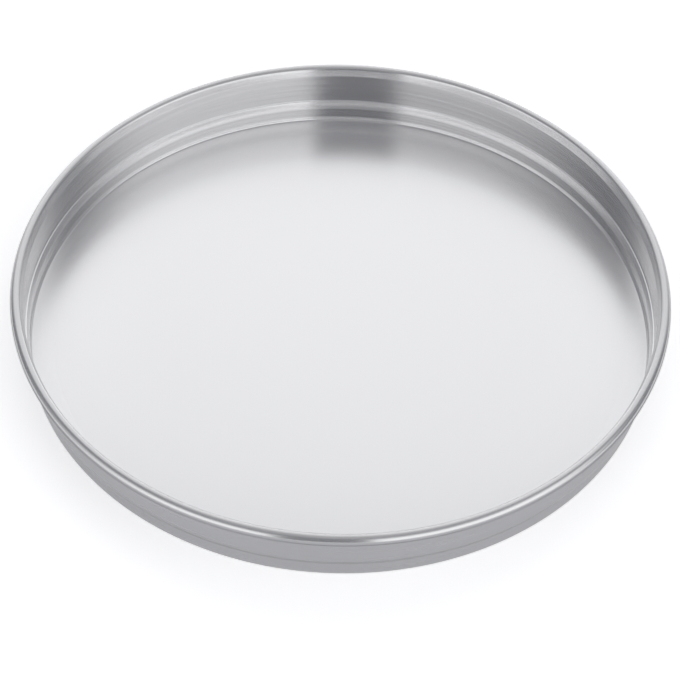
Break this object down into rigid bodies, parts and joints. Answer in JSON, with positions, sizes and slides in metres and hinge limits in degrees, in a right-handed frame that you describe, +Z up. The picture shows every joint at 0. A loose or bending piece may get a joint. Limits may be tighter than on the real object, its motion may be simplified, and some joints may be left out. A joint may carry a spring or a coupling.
{
  "type": "round cake pan",
  "caption": "Shallow round cake pan in satin aluminium with a flat base, a straight wall with a stacking step, and a rolled rim curled over a steel wire hoop.",
  "frame": {"origin": "centre of the underside of the base", "axes": "+Z up along the axis of the pan, X and Y free because the pan is round"},
  "size_m": [0.3696, 0.3696, 0.0391],
  "materials": {
    "pan_aluminium": "satin, spun, with fine lines round the axis",
    "rim_steel": "drawn wire"
  },
  "bodies": {
    "root": {"pan_shell": "pan_aluminium", "rim_wire": "rim_steel"}
  },
  "joints": []
}
